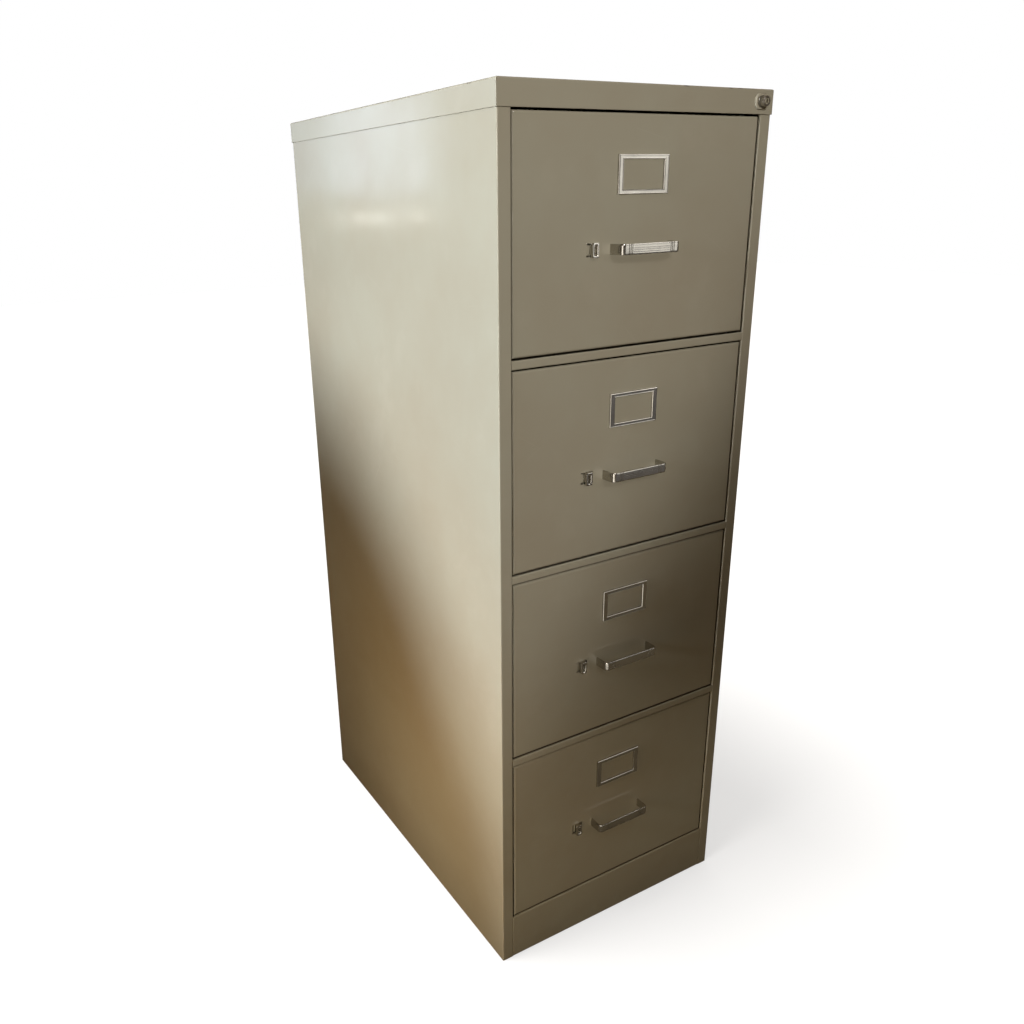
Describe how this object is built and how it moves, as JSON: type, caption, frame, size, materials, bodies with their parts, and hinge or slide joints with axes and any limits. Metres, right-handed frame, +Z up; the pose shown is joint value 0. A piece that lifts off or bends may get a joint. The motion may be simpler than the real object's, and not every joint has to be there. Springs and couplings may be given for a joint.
{
  "type": "filing cabinet",
  "caption": "Upright steel filing cabinet with a stack of deep drawers on full-extension slides, strap pulls, label frames, thumb latches and a plunger lock.",
  "frame": {"origin": "middle of the footprint, pulls included, at floor height", "axes": "+Z up, drawers open along -Y, +X to the right as seen from the front"},
  "size_m": [0.4572, 0.6956, 1.3208],
  "materials": {
    "case_paint": "semi-gloss putty enamel on folded steel",
    "drawer_paint": "semi-gloss putty enamel on folded steel",
    "slide_steel": "bright zinc on rolled steel",
    "roller_steel": "turned steel",
    "pull_plate": "satin nickel plate with fine lengthwise lines",
    "trim_plate": "bright nickel plate",
    "lock_plate": "bright nickel plate",
    "lock_brass": "turned brass",
    "bumper_rubber": "black moulded rubber"
  },
  "bodies": {
    "case": {"side_panel_left": "case_paint", "side_panel_right": "case_paint", "back_panel": "case_paint", "top_cap": "case_paint", "top_header": "case_paint", "cross_rails": "case_paint", "kick_plate": "case_paint", "rear_base_channel": "case_paint", "uprights": "case_paint", "case_channels": "slide_steel", "rear_bumpers": "bumper_rubber", "lock_housing": "lock_plate", "lock_bar_guides": "slide_steel"},
    "drawer_1": {"drawer_1_head": "drawer_paint", "drawer_1_liner": "drawer_paint", "drawer_1_tray": "drawer_paint", "drawer_1_back": "drawer_paint", "drawer_1_pull": "pull_plate", "drawer_1_label_frame": "trim_plate", "drawer_1_channels": "slide_steel"},
    "cradle_1": {"drawer_1_cradle": "slide_steel", "drawer_1_rollers": "roller_steel"},
    "thumb_latch_1": {"drawer_1_thumb_latch": "trim_plate"},
    "follower_1": {"drawer_1_follower": "drawer_paint"},
    "drawer_2": {"drawer_2_head": "drawer_paint", "drawer_2_liner": "drawer_paint", "drawer_2_tray": "drawer_paint", "drawer_2_back": "drawer_paint", "drawer_2_pull": "pull_plate", "drawer_2_label_frame": "trim_plate", "drawer_2_channels": "slide_steel"},
    "cradle_2": {"drawer_2_cradle": "slide_steel", "drawer_2_rollers": "roller_steel"},
    "thumb_latch_2": {"drawer_2_thumb_latch": "trim_plate"},
    "follower_2": {"drawer_2_follower": "drawer_paint"},
    "drawer_3": {"drawer_3_head": "drawer_paint", "drawer_3_liner": "drawer_paint", "drawer_3_tray": "drawer_paint", "drawer_3_back": "drawer_paint", "drawer_3_pull": "pull_plate", "drawer_3_label_frame": "trim_plate", "drawer_3_channels": "slide_steel"},
    "cradle_3": {"drawer_3_cradle": "slide_steel", "drawer_3_rollers": "roller_steel"},
    "thumb_latch_3": {"drawer_3_thumb_latch": "trim_plate"},
    "follower_3": {"drawer_3_follower": "drawer_paint"},
    "drawer_4": {"drawer_4_head": "drawer_paint", "drawer_4_liner": "drawer_paint", "drawer_4_tray": "drawer_paint", "drawer_4_back": "drawer_paint", "drawer_4_pull": "pull_plate", "drawer_4_label_frame": "trim_plate", "drawer_4_channels": "slide_steel"},
    "cradle_4": {"drawer_4_cradle": "slide_steel", "drawer_4_rollers": "roller_steel"},
    "thumb_latch_4": {"drawer_4_thumb_latch": "trim_plate"},
    "follower_4": {"drawer_4_follower": "drawer_paint"},
    "lock_plunger": {"lock_plunger": "lock_plate"},
    "lock_plug": {"lock_plug": "lock_brass"},
    "lock_bar": {"lock_bar": "slide_steel"}
  },
  "joints": [
    {"name": "drawer_1_slide", "type": "slide", "parent": "case", "child": "drawer_1", "axis": [0, -1, 0], "range_m": [0, 0.6]},
    {"name": "cradle_1_slide", "type": "slide", "parent": "case", "child": "cradle_1", "axis": [0, -1, 0], "range_m": [0, 0.3]},
    {"name": "thumb_latch_1_press", "type": "slide", "parent": "drawer_1", "child": "thumb_latch_1", "axis": [1, 0, 0], "range_m": [0, 0.0045], "stiffness_N_per_m": 300, "springref_m": -0.004},
    {"name": "follower_1_slide", "type": "slide", "parent": "drawer_1", "child": "follower_1", "axis": [0, -1, 0], "range_m": [0, 0.44]},
    {"name": "drawer_2_slide", "type": "slide", "parent": "case", "child": "drawer_2", "axis": [0, -1, 0], "range_m": [0, 0.6]},
    {"name": "cradle_2_slide", "type": "slide", "parent": "case", "child": "cradle_2", "axis": [0, -1, 0], "range_m": [0, 0.3]},
    {"name": "thumb_latch_2_press", "type": "slide", "parent": "drawer_2", "child": "thumb_latch_2", "axis": [1, 0, 0], "range_m": [0, 0.0045], "stiffness_N_per_m": 300, "springref_m": -0.004},
    {"name": "follower_2_slide", "type": "slide", "parent": "drawer_2", "child": "follower_2", "axis": [0, -1, 0], "range_m": [0, 0.44]},
    {"name": "drawer_3_slide", "type": "slide", "parent": "case", "child": "drawer_3", "axis": [0, -1, 0], "range_m": [0, 0.6]},
    {"name": "cradle_3_slide", "type": "slide", "parent": "case", "child": "cradle_3", "axis": [0, -1, 0], "range_m": [0, 0.3]},
    {"name": "thumb_latch_3_press", "type": "slide", "parent": "drawer_3", "child": "thumb_latch_3", "axis": [1, 0, 0], "range_m": [0, 0.0045], "stiffness_N_per_m": 300, "springref_m": -0.004},
    {"name": "follower_3_slide", "type": "slide", "parent": "drawer_3", "child": "follower_3", "axis": [0, -1, 0], "range_m": [0, 0.44]},
    {"name": "drawer_4_slide", "type": "slide", "parent": "case", "child": "drawer_4", "axis": [0, -1, 0], "range_m": [0, 0.6]},
    {"name": "cradle_4_slide", "type": "slide", "parent": "case", "child": "cradle_4", "axis": [0, -1, 0], "range_m": [0, 0.3]},
    {"name": "thumb_latch_4_press", "type": "slide", "parent": "drawer_4", "child": "thumb_latch_4", "axis": [1, 0, 0], "range_m": [0, 0.0045], "stiffness_N_per_m": 300, "springref_m": -0.004},
    {"name": "follower_4_slide", "type": "slide", "parent": "drawer_4", "child": "follower_4", "axis": [0, -1, 0], "range_m": [0, 0.44]},
    {"name": "lock_press", "type": "slide", "parent": "case", "child": "lock_plunger", "axis": [0, 1, 0], "range_m": [0, 0.009], "stiffness_N_per_m": 800, "springref_m": -0.012},
    {"name": "lock_bar_drop", "type": "slide", "parent": "case", "child": "lock_bar", "axis": [0, 0, -1], "range_m": [0, 0.009]},
    {"name": "lock_plug_turn", "type": "hinge", "parent": "lock_plunger", "child": "lock_plug", "pos_m": [0.2068, -0.3241, 1.3048], "axis": [0, 1, 0], "range_deg": [0, 90]}
  ],
  "couplings": [
    {"joint": "cradle_1_slide", "follows": "drawer_1_slide", "ratio": 0.5},
    {"joint": "cradle_2_slide", "follows": "drawer_2_slide", "ratio": 0.5},
    {"joint": "cradle_3_slide", "follows": "drawer_3_slide", "ratio": 0.5},
    {"joint": "cradle_4_slide", "follows": "drawer_4_slide", "ratio": 0.5},
    {"joint": "lock_bar_drop", "follows": "lock_press", "ratio": 1}
  ]
}
